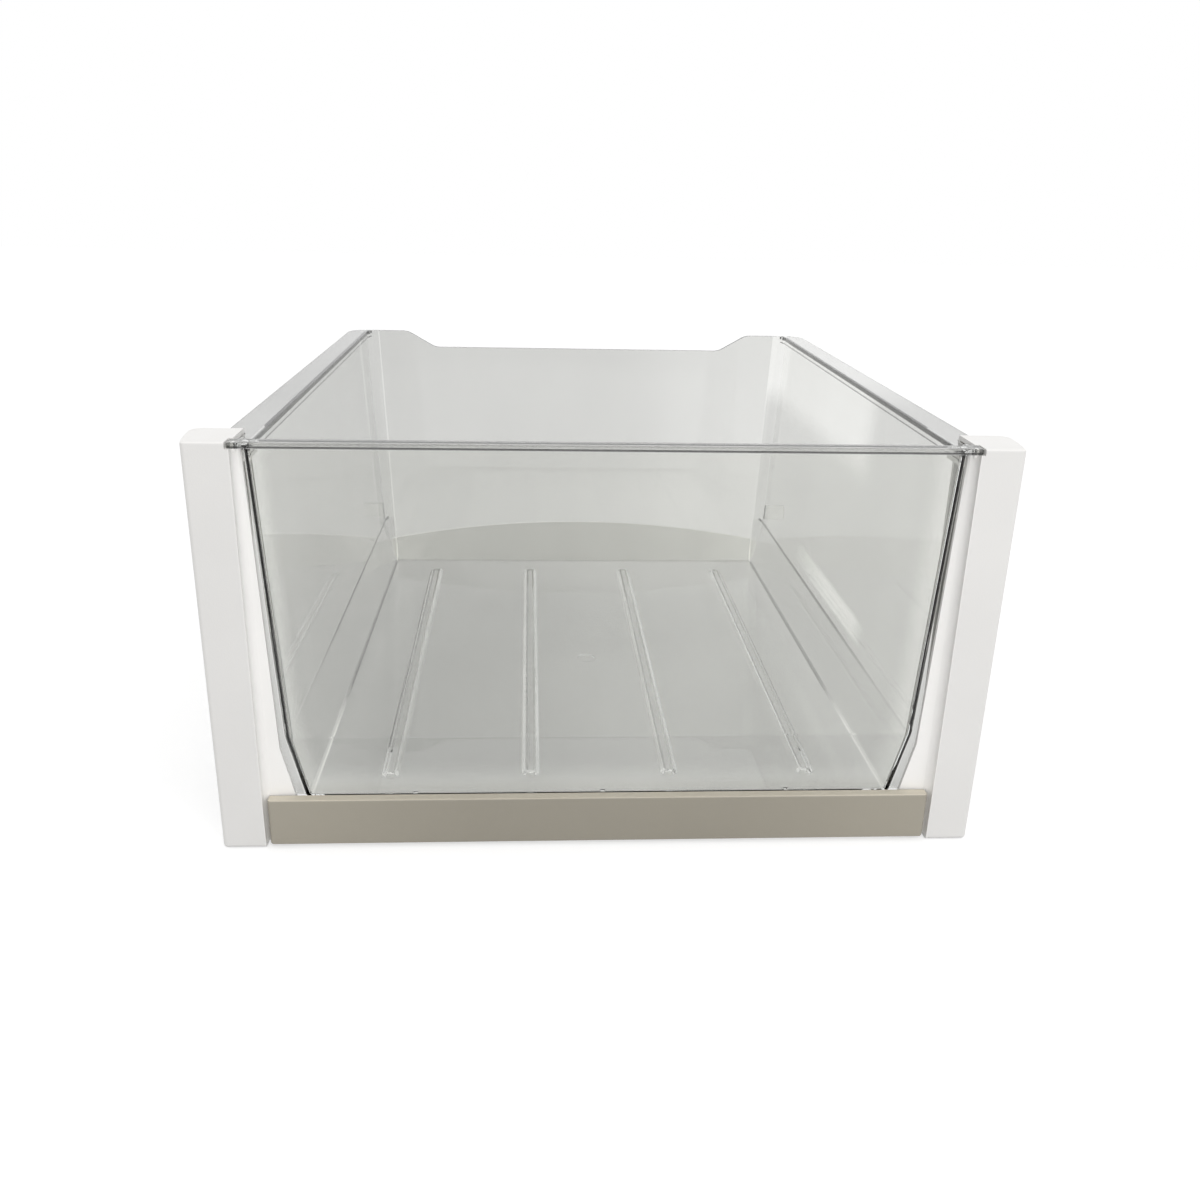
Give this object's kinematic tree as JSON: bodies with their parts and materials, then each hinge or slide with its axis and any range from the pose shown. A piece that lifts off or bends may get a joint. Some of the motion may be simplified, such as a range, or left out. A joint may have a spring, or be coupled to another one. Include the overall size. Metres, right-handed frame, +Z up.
{
  "type": "crisper drawer",
  "caption": "Clear refrigerator crisper drawer with a ribbed floor, side flanges to slide on, white corner posts and a warm grey pull strip.",
  "frame": {"origin": "middle of the base, halfway between the front plane and the rear edge, on the plane that the posts stand on", "axes": "+Z up, the front faces -Y and slides out that way, +X to the right of someone facing the front"},
  "size_m": [0.4052, 0.4078, 0.2176],
  "materials": {
    "clear_plastic": "clear, polished",
    "white_plastic": "white, satin gloss",
    "warm_grey_plastic": "warm grey, fine satin"
  },
  "bodies": {
    "root": {"clear_tub": "clear_plastic", "left_post": "white_plastic", "right_post": "white_plastic", "pull_strip": "warm_grey_plastic"}
  },
  "joints": []
}
